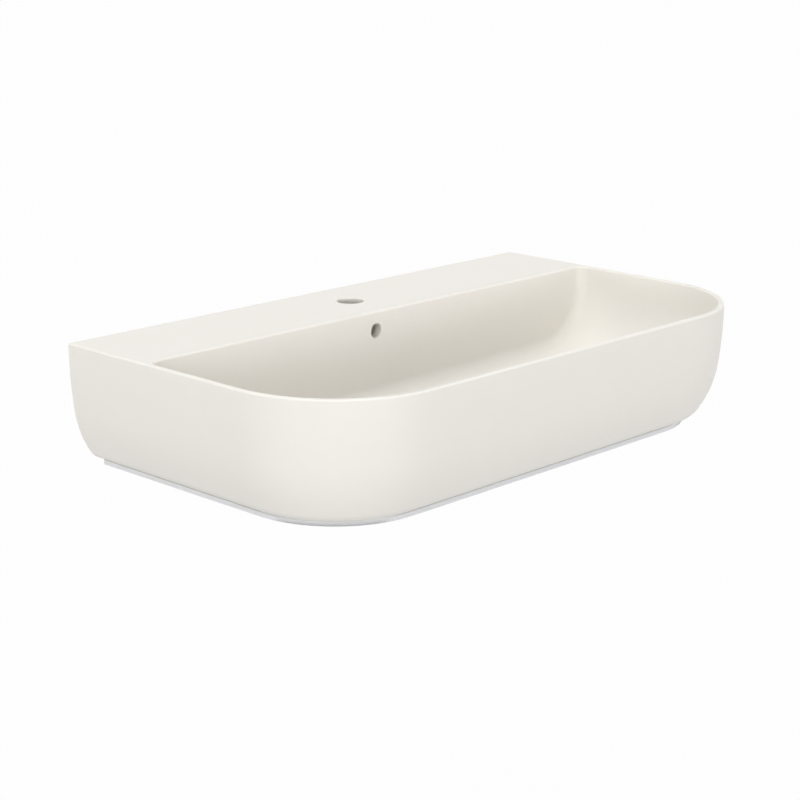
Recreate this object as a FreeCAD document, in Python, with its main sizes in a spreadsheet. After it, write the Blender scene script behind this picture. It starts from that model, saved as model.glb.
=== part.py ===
import FreeCAD, Part
import math
import os
import re

import Sketcher

# Wide hand basin in glazed ceramic, for a wall or a worktop, with its waste and wall fixings.
# Millimetres, +X to the right seen from the front, +Y into the wall, +Z up.
# The origin is on the wall face, midway between the two fixing holes.

CERAMIC_SIZES = (
    ("width", 800, "ceramic, side to side"),
    ("depth", 450, "wall face to front"),
    ("body_height", 151.5, "rim to the underside of the body"),
    ("foot_height", 6.5, "ground foot below the body"),
    ("corner_radius", 150, "front corners, seen from above"),
    ("rim_wall", 8, "thickness of the wall at the rim"),
    ("rim_round", 2.5, "rounding of the rim's edges"),
    ("skirt_straight", 9, "upright part of the outside below the rim"),
    ("belly_radius", 573, "first, slow arc of the outside"),
    ("belly_angle", 7.2, "how far the first arc turns, degrees"),
    ("hip_radius", 136, "second arc of the outside"),
    ("heel_radius", 28, "last, tight arc of the outside"),
    ("skirt_wall", 10, "thickness of the outer skirt"),
    ("flange_height", 10, "thickness of the skirt's turned-in bottom"),
    ("flange_reach", 16, "turned-in bottom, inwards from the heel"),
    ("foot_proud", 6.8, "foot's face outside the end of the heel"),
    ("foot_width", 14, "width of the ground foot"),
    ("foot_setback", 2, "wall face to the foot"),
    ("foot_corner", 120, "front corners of the foot, seen from above"),
    ("foot_back_round", 6, "rear corners of the foot"),
    ("bowl_straight", 22, "upright part of the bowl's wall"),
    ("bowl_radius", 85, "arc from the bowl's wall to its floor"),
    ("bowl_wall", 13, "thickness of the bowl below the fork"),
    ("bowl_corner", 15, "rounding where the bowl meets its back wall"),
    ("crotch_radius", 6, "rounding where skirt and bowl part"),
    ("floor_slope", 1.5, "fall of the bowl's floor, degrees"),
    ("dish_run", 50, "length over which the front of the trough rises"),
    ("deck_depth", 140, "tap deck, wall face to bowl"),
    ("deck_thickness", 14, "thickness of the tap deck"),
    ("under_round", 8, "rounding under the deck's sides"),
    ("back_wall", 10, "thickness of the back panel"),
    ("tap_hole", 35, "diameter of the tap hole"),
    ("tap_setback", 71, "wall face to the tap hole's axis"),
    ("tap_mouth", 1.5, "rounding at the mouth of the tap hole"),
    ("fixing_drop", 60, "rim to the fixing holes' axis"),
    ("fixing_spacing", 280, "fixing holes, centre to centre"),
    ("fixing_hole", 16, "diameter of the fixing holes"),
    ("overflow_hole", 19, "diameter of the overflow hole"),
    ("overflow_mouth", 1.5, "rounding at the mouth of the overflow hole"),
    ("overflow_drop", 25.3, "rim to the overflow hole's axis"),
    ("overflow_offset", 21, "overflow hole, left of the middle"),
    ("duct_width", 28, "overflow duct, side to side"),
    ("duct_gap", 7, "overflow duct, its narrow way"),
    ("duct_wall", 8, "ceramic around the overflow duct"),
    ("duct_round", 2.5, "corners of the overflow duct"),
    ("duct_bend", 32, "bend of the overflow duct, on its middle line"),
    ("outlet_setback", 105, "bowl's back wall to the outlet's axis"),
    ("outlet_hole", 46, "diameter of the outlet hole"),
    ("outlet_boss", 86, "diameter of the ceramic around the outlet"),
    ("boss_floor", 8.7, "ceramic under the overflow chamber"),
    ("recess_width", 71, "diameter of the recess for the waste's flange"),
    ("recess_depth", 3.5, "depth of that recess at the trough"),
    ("chamber_width", 66, "diameter of the overflow chamber round the waste"),
    ("chamber_height", 17, "height of the overflow chamber"),
    ("chamber_roof", 8, "ceramic between recess and chamber"),
    ("chamber_round", 4, "corners of the overflow chamber"),
    ("overrun", 5, "how far cutting shapes run past what they cut"),
)

WASTE_SIZES = (
    ("gasket_thickness", 1.5, "gasket under the waste's flange"),
    ("flange_radius", 33, "waste flange"),
    ("flange_thickness", 3, "waste flange"),
    ("barrel_radius", 20.95, "waste barrel, inch and a quarter pipe thread"),
    ("barrel_bore", 17.5, "inside radius of the waste barrel"),
    ("barrel_length", 89, "flange's underside to the tail's end"),
    ("tail_length", 28, "threaded tail that takes the trap's nut"),
    ("relief_width", 2, "thread relief above the tail"),
    ("relief_depth", 0.9, "thread relief above the tail"),
    ("tail_chamfer", 1, "end of the tail"),
    ("seat_radius", 27, "top of the cone that the plug's seal meets"),
    ("seat_depth", 2.4, "depth of that cone"),
    ("slot_width", 22, "overflow slots in the barrel"),
    ("slot_height", 12, "overflow slots in the barrel"),
    ("slot_round", 2, "corners of those slots"),
    ("hub_radius", 7.5, "hub that carries the click cartridge"),
    ("hub_height", 8, "hub and its arms"),
    ("hub_depth", 30, "flange's underside to the hub's top"),
    ("arm_width", 3, "arms that carry the hub"),
    ("thread_clearance", 0.1, "radial gap of a screwed or slipped-on piece"),
    ("seal_height", 8, "conical seal under the ceramic"),
    ("seal_radius", 34, "conical seal and friction washer"),
    ("seal_nose", 4, "how far the seal's cone enters the outlet hole"),
    ("seal_nose_gap", 0.4, "seal's cone inside the outlet hole"),
    ("washer_thickness", 2, "friction washer"),
    ("nut_height", 10, "back nut"),
    ("nut_bevel", 30, "slant of every nut's corners, degrees"),
    ("nut_hex", 52, "back nut across its flats"),
    ("nut_collar_radius", 31, "round collar at the top of the back nut"),
    ("nut_collar_height", 3, "round collar at the top of the back nut"),
    ("running_gap", 0.05, "radial gap of a piece that slides or turns on another"),
    ("flange_round", 1, "outer edge of the waste's flange"),
)

CARTRIDGE_SIZES = (
    ("sleeve_thread", 5, "radius of the cartridge's threaded end"),
    ("sleeve_radius", 6.2, "radius of the cartridge above its hexagon"),
    ("sleeve_hex", 14, "cartridge's hexagon across its flats"),
    ("sleeve_hex_height", 4, "cartridge's hexagon"),
    ("sleeve_height", 16, "hub's top to the cartridge's top"),
    ("sleeve_tail", 14, "hub's top to the cartridge's lower end"),
    ("sleeve_bore", 4.2, "radius of the cartridge's bore"),
    ("sleeve_floor", 2, "closed lower end of the cartridge"),
    ("jam_nut_height", 4, "nut under the hub"),
    ("jam_nut_hex", 13, "nut under the hub, across its flats"),
    ("collar_height", 3, "guide collar above the cartridge"),
    ("collar_spigot", 2, "guide collar's spigot in the bore"),
    ("wiper_wire", 0.9, "section radius of the wiper ring"),
    ("wiper_gap", 0.3, "wiper ring to the pin"),
    ("pin_radius", 3, "plug's pin"),
    ("pin_collar_radius", 3.8, "collar on the pin"),
    ("pin_collar_height", 3, "collar on the pin"),
    ("nose_radius", 1.8, "pin below its collar"),
    ("nose_length", 11, "pin below its collar"),
    ("plug_travel", 9, "rise of the plug from shut to open"),
    ("moving_gap", 0.3, "gap between pieces that move past each other"),
    ("ring_height", 5, "ratchet ring with its teeth"),
    ("ring_teeth", 8, "teeth of the ratchet ring"),
    ("ring_notch_depth", 1.2, "notches of the ratchet ring"),
    ("ring_notch_width", 1.2, "notches of the ratchet ring"),
    ("spring_wire", 0.4, "radius of the spring's wire"),
    ("spring_radius", 3.2, "middle line of the spring"),
    ("spring_turns", 5, "coils of the spring"),
    ("spring_seat_height", 1, "washer under the spring"),
    ("spring_seat_hole", 1.5, "radius of the hole in that washer"),
)

PLUG_SIZES = (
    ("plug_radius", 31.5, "plug cap"),
    ("plug_skin", 0.9, "metal of the plug cap"),
    ("plug_rim_height", 3.6, "upright edge of the plug cap"),
    ("plug_crown", 1.8, "rise of the plug cap's top"),
    ("plug_edge_round", 0.8, "edge of the plug cap"),
    ("core_gap", 0.15, "plug core inside its cap"),
    ("core_boss_radius", 7, "boss under the plug core"),
    ("core_boss_height", 6, "boss under the plug core"),
    ("seal_ring_inner", 14, "plug seal"),
    ("seal_ring_outer", 25, "plug seal"),
    ("seal_ring_height", 2, "plug seal"),
    ("seal_ring_gap", 1.3, "plug seal to its seat when shut, sideways"),
    ("seal_lip_radius", 16.5, "lip of the plug core under its seal"),
    ("seal_lip_height", 1.2, "lip of the plug core under its seal"),
    ("locknut_hex", 10, "nut on the pin, across its flats"),
    ("locknut_height", 3, "nut on the pin"),
)

FIXING_SIZES = (
    ("bush_gap", 0.1, "bush in the ceramic's hole, radial"),
    ("bush_shoulder_radius", 14, "shoulder of the bush"),
    ("bush_shoulder", 3, "thickness of the bush's shoulder"),
    ("bush_setback", 0.5, "bush's end behind the wall face"),
    ("stud_hole_radius", 5.5, "hole for the wall's stud"),
    ("fixing_washer_radius", 12, "steel washer"),
    ("fixing_washer_thickness", 2.5, "steel washer"),
    ("fixing_nut_hex", 17, "nut across its flats"),
    ("fixing_nut_height", 8, "nut"),
    ("fixing_nut_bore", 5, "nut's bore"),
)

DERIVED_SIZES = (
    ("rim_z", "fixing_drop", "height of the rim"),
    ("body_z", "rim_z - body_height", "height of the body's underside"),
    ("foot_z", "body_z - foot_height", "height of the foot's underside"),
    (
        "hip_angle",
        "asin((body_height - skirt_straight - (belly_radius - hip_radius) * sin(belly_angle)"
        " - heel_radius) / (hip_radius - heel_radius)) / 1deg",
        "where the second arc ends, degrees from upright",
    ),
    ("hip_u", "belly_radius - (belly_radius - hip_radius) * cos(belly_angle)", "second arc's centre, inset"),
    ("hip_d", "skirt_straight + (belly_radius - hip_radius) * sin(belly_angle)", "the same, depth"),
    ("heel_u", "hip_u - (hip_radius - heel_radius) * cos(hip_angle)", "last arc's centre, inset"),
    ("foot_inset", "heel_u - foot_proud", "foot's face behind the rim's face"),
    ("flange_u", "heel_u + flange_reach", "inner edge of the turned-in bottom"),
    ("inner_hip", "hip_radius - skirt_wall", "second arc, inside the skirt"),
    ("bowl_u", "rim_wall + bowl_radius", "bowl arc's centre, inset"),
    ("bowl_outer", "bowl_radius + bowl_wall", "bowl arc on the underside"),
    ("bowl_under", "bowl_straight + bowl_outer", "rim to the bowl's underside"),
    ("floor_u", "bowl_u - bowl_radius * sin(floor_slope)", "where the floor begins, inset"),
    ("floor_d", "bowl_straight + bowl_radius * cos(floor_slope)", "where the floor begins, depth"),
    ("axis_d", "floor_d + (corner_radius - floor_u) * tan(floor_slope)", "floor at a corner's centre"),
    ("middle_half", "width / 2 - corner_radius", "half the straight front"),
    ("trough_radius", "middle_half / sin(floor_slope)", "wide arc across the floor"),
    ("trough_d", "axis_d + middle_half * tan(floor_slope / 2)", "floor's greatest depth"),
    ("fork_a", "inner_hip - crotch_radius", "crotch's centre from the second arc's"),
    ("fork_b", "bowl_outer + crotch_radius", "crotch's centre from the bowl arc's"),
    ("fork_span", "sqrt((hip_u - bowl_u)^2 + (hip_d - bowl_straight)^2)", "between those two centres"),
    ("fork_along", "(fork_a^2 - fork_b^2 + fork_span^2) / (2 * fork_span)", "crotch's centre, along it"),
    ("fork_across", "sqrt(fork_a^2 - fork_along^2)", "crotch's centre, across it"),
    (
        "crotch_u",
        "hip_u + (fork_along * (bowl_u - hip_u) + fork_across * (bowl_straight - hip_d)) / fork_span",
        "crotch's centre, inset",
    ),
    (
        "crotch_d",
        "hip_d + (fork_along * (bowl_straight - hip_d) - fork_across * (bowl_u - hip_u)) / fork_span",
        "crotch's centre, depth",
    ),
    ("outlet_y", "-1 * (deck_depth + outlet_setback)", "outlet's axis"),
    ("seat_z", "rim_z - trough_d - recess_depth", "bottom of the flange's recess"),
    ("chamber_z", "seat_z - chamber_roof - chamber_height", "bottom of the overflow chamber"),
    ("boss_z", "chamber_z - boss_floor", "underside of the outlet boss"),
    ("duct_z", "chamber_z + chamber_height / 2", "middle line of the duct under the floor"),
    ("duct_y", "-1 * (deck_depth - bowl_wall - duct_gap / 2)", "middle line of the duct behind the bowl"),
    ("trough_fall", "trough_d - axis_d", "depth of the wide arc across the floor"),
    ("dish_rise", "trough_fall / dish_run + tan(floor_slope)", "rise of the trough's front, per length"),
    ("flange_z", "seat_z + gasket_thickness", "underside of the waste's flange"),
    ("hub_z", "flange_z - hub_depth", "top of the hub"),
    ("seal_z", "boss_z - seal_height", "underside of the conical seal"),
    ("washer_z", "seal_z - washer_thickness", "underside of the friction washer"),
    ("nut_z", "washer_z - nut_height", "underside of the back nut"),
    ("sleeve_top", "hub_z + sleeve_height", "top of the cartridge"),
    ("bore_z", "hub_z - sleeve_tail + sleeve_floor", "bottom of the cartridge's bore"),
    ("stop_z", "sleeve_top - collar_spigot - moving_gap", "top of the pin's collar when the plug is up"),
    ("pin_collar_z", "stop_z - plug_travel - pin_collar_height", "underside of the pin's collar"),
    ("ring_z", "pin_collar_z - moving_gap - ring_height", "underside of the ratchet ring"),
    ("spring_z", "bore_z + spring_seat_height", "underside of the spring"),
    ("spring_height", "ring_z - moving_gap - spring_z", "spring, shut"),
    ("plug_z", "flange_z + flange_thickness + moving_gap", "underside of the plug"),
    ("seat_slope", "(seat_radius - barrel_bore) / seat_depth", "the seat's cone, outwards per height"),
    (
        "seal_ring_radius",
        "seat_radius + seat_slope * (moving_gap - seal_ring_height) - seal_ring_gap",
        "plug seal's lower edge",
    ),
    ("core_radius", "plug_radius - plug_skin - core_gap", "plug core"),
    ("core_height", "plug_rim_height - plug_skin", "plug core inside its cap"),
    ("pin_z", "pin_collar_z - nose_length", "lower end of the pin"),
    ("wiper_radius", "pin_radius + wiper_gap + wiper_wire", "middle line of the wiper ring"),
    ("groove_radius", "wiper_radius + wiper_wire + thread_clearance", "wiper ring's seat"),
)

ALL_SIZES = CERAMIC_SIZES + WASTE_SIZES + CARTRIDGE_SIZES + PLUG_SIZES + FIXING_SIZES
NAMES = {row[0] for row in ALL_SIZES + DERIVED_SIZES}
NEAR = 0.01  # how close two measured places count as the same place
EDGE_PLACES = 5  # places looked at along an edge; the third is its middle

doc = FreeCAD.newDocument("hand_basin")
sheet = doc.addObject("Spreadsheet::Sheet", "Sizes")


def fill_sheet():
    """Writes every size to the sheet: its name, its value or formula, and what it means."""
    rows = [(name, str(value), note) for name, value, note in ALL_SIZES]
    rows += [(name, "=" + formula, note) for name, formula, note in DERIVED_SIZES]
    for row, (name, text, note) in enumerate(rows, start=1):
        sheet.set(f"A{row}", name)
        sheet.set(f"B{row}", text)
        sheet.set(f"C{row}", note)
        sheet.setAlias(f"B{row}", name)
    doc.recompute()


def size(formula):
    """The value of a formula in the sheet's names."""
    return float(sheet.evalExpression(formula))


def scoped(formula):
    """The formula as objects other than the sheet read it."""
    return re.sub(
        r"[a-z][a-z_0-9]*",
        lambda word: "Sizes." + word[0] if word[0] in NAMES else word[0],
        formula,
    )


def bind(item, **formulas):
    """Binds properties of an object to formulas; a double underscore stands for a dot."""
    for path, formula in formulas.items():
        item.setExpression(path.replace("__", "."), scoped(formula))


# Outlines: a list of corners (x, y, edge). The edge leads on to the next corner: LINE, or an arc
# of under half a turn that turns left or right.

LINE = None


def left(radius):
    """An edge that turns left on an arc of this radius."""
    return ("left", radius)


def right(radius):
    """An edge that turns right on an arc of this radius."""
    return ("right", radius)


def flipped(edge):
    """The same edge seen in a mirror, or walked the other way."""
    if edge is LINE:
        return LINE
    return ("right" if edge[0] == "left" else "left", edge[1])


def mapped(corners, x_of, y_of, mirror=False):
    """The corners with each place put through two formulas of a and b."""
    return [
        (
            re.sub(r"\bA\b", f"({a})", x_of),
            re.sub(r"\bB\b", f"({b})", y_of),
            flipped(edge) if mirror else edge,
        )
        for a, b, edge in corners
    ]


def backwards(corners, last_edge=LINE):
    """The same open run of corners, walked from its end to its start."""
    edges = [flipped(edge) for _, _, edge in corners[:-1]][::-1] + [last_edge]
    return [(x, y, edge) for (x, y, _), edge in zip(corners[::-1], edges)]


def vector(x, y, z=0.0):
    """A point or direction."""
    return FreeCAD.Vector(x, y, z)


def arc_edge(start, end, edge):
    """The circular arc from start to end that turns as the edge says."""
    radius = size(edge[1])
    chord = end - start
    reach = math.sqrt(max(radius**2 - (chord.Length / 2) ** 2, 0.0))
    side = vector(-chord.y, chord.x).normalize()
    centre = (start + end) / 2 + side * (reach if edge[0] == "left" else -reach)
    first, second = (start, end) if edge[0] == "left" else (end, start)
    angles = [math.atan2(p.y - centre.y, p.x - centre.x) for p in (first, second)]
    return Part.ArcOfCircle(Part.Circle(centre, vector(0, 0, 1), radius), *angles)


def constrain(sketch, kind, value, *references):
    """Adds one dimension to a sketch, bound to its formula."""
    index = sketch.addConstraint(Sketcher.Constraint(kind, *references, size(value)))
    sketch.setExpression(f"Constraints[{index}]", scoped(value))


def draw_outline(sketch, corners):
    """Draws a closed outline, with every corner and every radius bound to its formula."""
    places = [vector(size(x), size(y)) for x, y, _ in corners]
    ends = []
    base = sketch.GeometryCount
    for index, (_, _, edge) in enumerate(corners):
        start, end = places[index], places[(index + 1) % len(places)]
        if edge is LINE:
            sketch.addGeometry(Part.LineSegment(start, end))
        else:
            sketch.addGeometry(arc_edge(start, end, edge))
        ends.append((2, 1) if edge is not LINE and edge[0] == "right" else (1, 2))
    for index, (x, y, edge) in enumerate(corners):
        after = (index + 1) % len(corners)
        own, following = base + index, base + after
        joint = (own, ends[index][1], following, ends[after][0])
        sketch.addConstraint(Sketcher.Constraint("Coincident", *joint))
        constrain(sketch, "DistanceX", x, own, ends[index][0])
        constrain(sketch, "DistanceY", y, own, ends[index][0])
        if edge is not LINE:
            constrain(sketch, "Radius", edge[1], own)


def draw_circle(sketch, x, y, radius):
    """Draws a circle with its centre and radius bound to formulas."""
    shape = Part.Circle(vector(size(x), size(y)), vector(0, 0, 1), size(radius))
    own = sketch.addGeometry(shape)
    constrain(sketch, "DistanceX", x, own, 3)
    constrain(sketch, "DistanceY", y, own, 3)
    constrain(sketch, "Radius", radius, own)


def new_body(name, x="0", y="0", z="0"):
    """A body with its own label, placed by three formulas."""
    body = doc.addObject("PartDesign::Body", name)
    body.Label = name
    bind(body, Placement__Base__x=x, Placement__Base__y=y, Placement__Base__z=z)
    return body


def new_sketch(body, name, plane, along="0", across="0", up="0"):
    """A sketch on one of the body's origin planes, moved by formulas: along its normal, across and up."""
    sketch = body.newObject("Sketcher::SketchObject", name)
    support = next(f for f in body.Origin.OriginFeatures if f.Role == plane)
    sketch.AttachmentSupport = [(support, "")]
    sketch.MapMode = "FlatFace"
    bind(
        sketch,
        AttachmentOffset__Base__x=across,
        AttachmentOffset__Base__y=up,
        AttachmentOffset__Base__z=along,
    )
    return sketch


def outline_sketch(body, name, plane, corners, **moves):
    """A sketch that holds one closed outline."""
    sketch = new_sketch(body, name, plane, **moves)
    draw_outline(sketch, corners)
    return sketch


def circle_sketch(body, name, plane, radius, x="0", y="0", **moves):
    """A sketch that holds one circle."""
    sketch = new_sketch(body, name, plane, **moves)
    draw_circle(sketch, x, y, radius)
    return sketch


def feature(body, kind, name, sketch, reverse=False, **formulas):
    """A sketch-based feature whose volume change is checked."""
    before = body.Shape.Volume if body.Tip and body.Tip.isDerivedFrom("PartDesign::Feature") else 0.0
    item = body.newObject("PartDesign::" + kind, name)
    item.Profile = sketch
    if kind in ("Revolution", "Groove"):
        item.ReferenceAxis = (sketch, ["V_Axis"])
    item.Reversed = reverse
    bind(item, **formulas)
    doc.recompute()
    grown = body.Shape.Volume - before
    wanted = -1 if kind in ("Pocket", "Groove") else 1
    if grown * wanted <= 0:
        raise ValueError(f"{name} changed the volume of {body.Label} by {grown:.3f}")
    return item


def turned(name, corners, z="0", x="0", y="outlet_y"):
    """A body turned about its own upright axis from an outline of (radius, height) corners."""
    body = new_body(name, x, y, z)
    sketch = outline_sketch(body, name + "_section", "XZ_Plane", corners)
    feature(body, "Revolution", name + "_turn", sketch, Angle="360")
    return body


def ring_corners(inner, outer, bottom, top):
    """The section of a plain ring."""
    return [(inner, bottom, LINE), (outer, bottom, LINE), (outer, top, LINE), (inner, top, LINE)]


def hexagon_corners(across_flats):
    """A regular hexagon about the sketch's origin."""
    reach = f"{across_flats} / sqrt(3)"
    turns = range(0, 360, 60)
    return [(f"{reach} * cos({turn})", f"{reach} * sin({turn})", LINE) for turn in turns]


def rounded_box_corners(half_width, half_height, radius):
    """A rectangle about the sketch's origin with rounded corners."""
    w, t, r = f"({half_width})", f"({half_height})", f"({radius})"
    return [
        (f"{w} - {r}", f"-1 * {t}", left(radius)),
        (w, f"-1 * {t} + {r}", LINE),
        (w, f"{t} - {r}", left(radius)),
        (f"{w} - {r}", t, LINE),
        (f"-1 * {w} + {r}", t, left(radius)),
        (f"-1 * {w}", f"{t} - {r}", LINE),
        (f"-1 * {w}", f"-1 * {t} + {r}", left(radius)),
        (f"-1 * {w} + {r}", f"-1 * {t}", LINE),
    ]


def edge_names(shape, chosen):
    """The names of the edges that the test chooses from five places along each."""
    edges = [(index, edge) for index, edge in enumerate(shape.Edges, start=1) if not edge.Degenerated]
    return [f"Edge{index}" for index, edge in edges if chosen(edge.discretize(EDGE_PLACES))]


def round_edges(body, name, radius, chosen):
    """Rounds the edges of the body's present shape that the test chooses."""
    doc.recompute()
    base = body.Tip
    names = edge_names(base.Shape, chosen)
    if not names:
        raise ValueError(f"{name} found no edge")
    item = body.newObject("PartDesign::Fillet", name)
    item.Base = (base, names)
    bind(item, Radius=radius)
    doc.recompute()
    if not item.isValid() or item.Shape.isNull():
        raise ValueError(f"{name} failed on {names}")
    return item


# The ceramic's wall, as seen in a cut square to it: u is the inset from the rim's outer face and
# d the depth below the rim. The outer face goes down in three tangent arcs.

SKIRT = [
    ("0", "0", LINE),
    ("0", "skirt_straight", right("belly_radius")),
    (
        "hip_u - hip_radius * cos(belly_angle)",
        "hip_d + hip_radius * sin(belly_angle)",
        right("hip_radius"),
    ),
    (
        "hip_u - hip_radius * cos(hip_angle)",
        "hip_d + hip_radius * sin(hip_angle)",
        right("heel_radius"),
    ),
    ("heel_u", "body_height", LINE),
]

FLANGE = [
    ("flange_u", "body_height", LINE),
    ("flange_u", "body_height - flange_height", LINE),
    (
        "hip_u - inner_hip * cos(hip_angle)",
        "hip_d + inner_hip * sin(hip_angle)",
        left("inner_hip"),
    ),
]

FORK = [
    (
        "hip_u + (crotch_u - hip_u) * inner_hip / fork_a",
        "hip_d + (crotch_d - hip_d) * inner_hip / fork_a",
        left("crotch_radius"),
    ),
    (
        "bowl_u + (crotch_u - bowl_u) * bowl_outer / fork_b",
        "bowl_straight + (crotch_d - bowl_straight) * bowl_outer / fork_b",
        right("bowl_outer"),
    ),
    ("bowl_u", "bowl_under", LINE),
]

UNDER_DECK = [
    (
        "hip_u - inner_hip * cos(belly_angle)",
        "hip_d + inner_hip * sin(belly_angle)",
        LINE,
    ),
    ("skirt_wall", "deck_thickness + under_round", left("under_round")),
    ("skirt_wall + under_round", "deck_thickness", LINE),
]

BOWL = [
    ("rim_wall", "0", LINE),
    ("rim_wall", "bowl_straight", right("bowl_radius")),
    ("floor_u", "floor_d", LINE),
    ("corner_radius", "axis_d", LINE),
]

RIGHT_SIDE = {"x_of": "width / 2 - A", "y_of": "rim_z - B"}
LEFT_SIDE = {"x_of": "A - width / 2", "y_of": "rim_z - B", "mirror": True}
CORNER_RIGHT = {"x_of": "corner_radius - A", "y_of": "rim_z - B"}
CORNER_LEFT = {"x_of": "A - corner_radius", "y_of": "rim_z - B", "mirror": True}
FRONT_SIDE = {"x_of": "A - depth", "y_of": "rim_z - B", "mirror": True}


def bowl_section():
    """The whole cut from side to side: skirts, flanges, forks and the bowl with its troughed floor."""
    wall = SKIRT + FLANGE + FORK
    bowl_left = mapped(BOWL, **LEFT_SIDE)
    bowl_left[-1] = bowl_left[-1][:2] + (left("trough_radius"),)
    return (
        mapped(wall, **RIGHT_SIDE)
        + backwards(mapped(wall, **LEFT_SIDE))
        + bowl_left
        + backwards(mapped(BOWL, **RIGHT_SIDE))
    )


def wall_section(side):
    """One side's cut, from the outer face in to the corner's centre."""
    lower = mapped(SKIRT + FLANGE + FORK + [("corner_radius", "bowl_under", LINE)], **side)
    return lower + backwards(mapped(BOWL, **side))


def deck_section():
    """The cut through the tap deck: an arch of two skirts and the deck."""
    arch = SKIRT + FLANGE + UNDER_DECK
    return mapped(arch, **RIGHT_SIDE) + backwards(mapped(arch, **LEFT_SIDE))


def back_section():
    """The outside of the cut, closed across the bottom."""
    return mapped(SKIRT, **RIGHT_SIDE) + backwards(mapped(SKIRT, **LEFT_SIDE))


def back_plate_section():
    """The bowl's back wall: the bowl's underside curve, closed inside the skirts and the deck."""
    inset = "skirt_wall / 2"
    half = [
        (inset, "deck_thickness / 2", LINE),
        (
            inset,
            f"bowl_straight + sqrt(bowl_outer^2 - (bowl_u - {inset})^2)",
            right("bowl_outer"),
        ),
        ("bowl_u", "bowl_under", LINE),
    ]
    return mapped(half, **RIGHT_SIDE) + backwards(mapped(half, **LEFT_SIDE))


def foot_corners(inset, setback, front_radius, back_radius):
    """A closed outline of the foot in plan, with large front corners."""
    x, back, front = f"(width / 2 - {inset})", f"(-1 * ({setback}))", f"({inset} - depth)"
    return [
        (f"{x} - {front_radius}", front, left(front_radius)),
        (x, f"{front} + {front_radius}", LINE),
        (x, f"{back} - {back_radius}", left(back_radius)),
        (f"{x} - {back_radius}", back, LINE),
        (f"-1 * {x} + {back_radius}", back, left(back_radius)),
        (f"-1 * {x}", f"{back} - {back_radius}", LINE),
        (f"-1 * {x}", f"{front} + {front_radius}", left(front_radius)),
        (f"-1 * {x} + {front_radius}", front, LINE),
    ]


def add_ceramic_shell(body):
    """The walls, the bowl and the deck, as straight and turned runs of the same section."""
    middle = outline_sketch(body, "bowl_cut", "XZ_Plane", bowl_section(), along="deck_depth")
    feature(body, "Pad", "bowl_middle", middle, Length="depth - deck_depth - corner_radius")
    for name, side, across, reverse in (
        ("right", CORNER_RIGHT, "middle_half", True),
        ("left", CORNER_LEFT, "-1 * middle_half", False),
    ):
        moves = {"along": "depth - corner_radius", "across": across}
        cut = outline_sketch(body, f"corner_cut_{name}", "XZ_Plane", wall_section(side), **moves)
        feature(body, "Revolution", f"front_corner_{name}", cut, reverse, Angle="90")
    front = outline_sketch(body, "front_cut", "YZ_Plane", wall_section(FRONT_SIDE), along="-1 * middle_half")
    feature(body, "Pad", "front_run", front, Length="2 * middle_half")
    deck = outline_sketch(body, "deck_cut", "XZ_Plane", deck_section(), along="back_wall")
    feature(body, "Pad", "deck_arch", deck, Length="deck_depth - back_wall")
    back = outline_sketch(body, "back_outline", "XZ_Plane", back_section())
    feature(body, "Pad", "back_panel", back, Length="back_wall")
    plate = outline_sketch(
        body, "bowl_back_outline", "XZ_Plane", back_plate_section(), along="deck_depth - bowl_wall"
    )
    feature(body, "Pad", "bowl_back", plate, Length="bowl_wall")


def add_ceramic_foot(body):
    """The turned-in bottom at the back and the ground foot, one closed ring."""
    half = "(width / 2 - (heel_u + flange_u) / 2)"
    reach = "(foot_setback + foot_width + flange_reach / 4)"
    corners = [
        (f"-1 * {half}", f"-1 * {reach}", LINE),
        (half, f"-1 * {reach}", LINE),
        (half, "-1 * back_wall / 2", LINE),
        (f"-1 * {half}", "-1 * back_wall / 2", LINE),
    ]
    rear = outline_sketch(body, "rear_flange_outline", "XY_Plane", corners, along="body_z")
    feature(body, "Pad", "rear_flange", rear, Length="flange_height")
    foot = new_sketch(body, "foot_outline", "XY_Plane", along="foot_z")
    outer = foot_corners("foot_inset", "foot_setback", "foot_corner", "foot_back_round")
    inner = foot_corners(
        "(foot_inset + foot_width)",
        "foot_setback + foot_width",
        "(foot_corner - foot_width)",
        "foot_back_round",
    )
    draw_outline(foot, outer)
    draw_outline(foot, inner)
    feature(body, "Pad", "ground_foot", foot, Length="foot_height + flange_height / 2")


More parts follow.
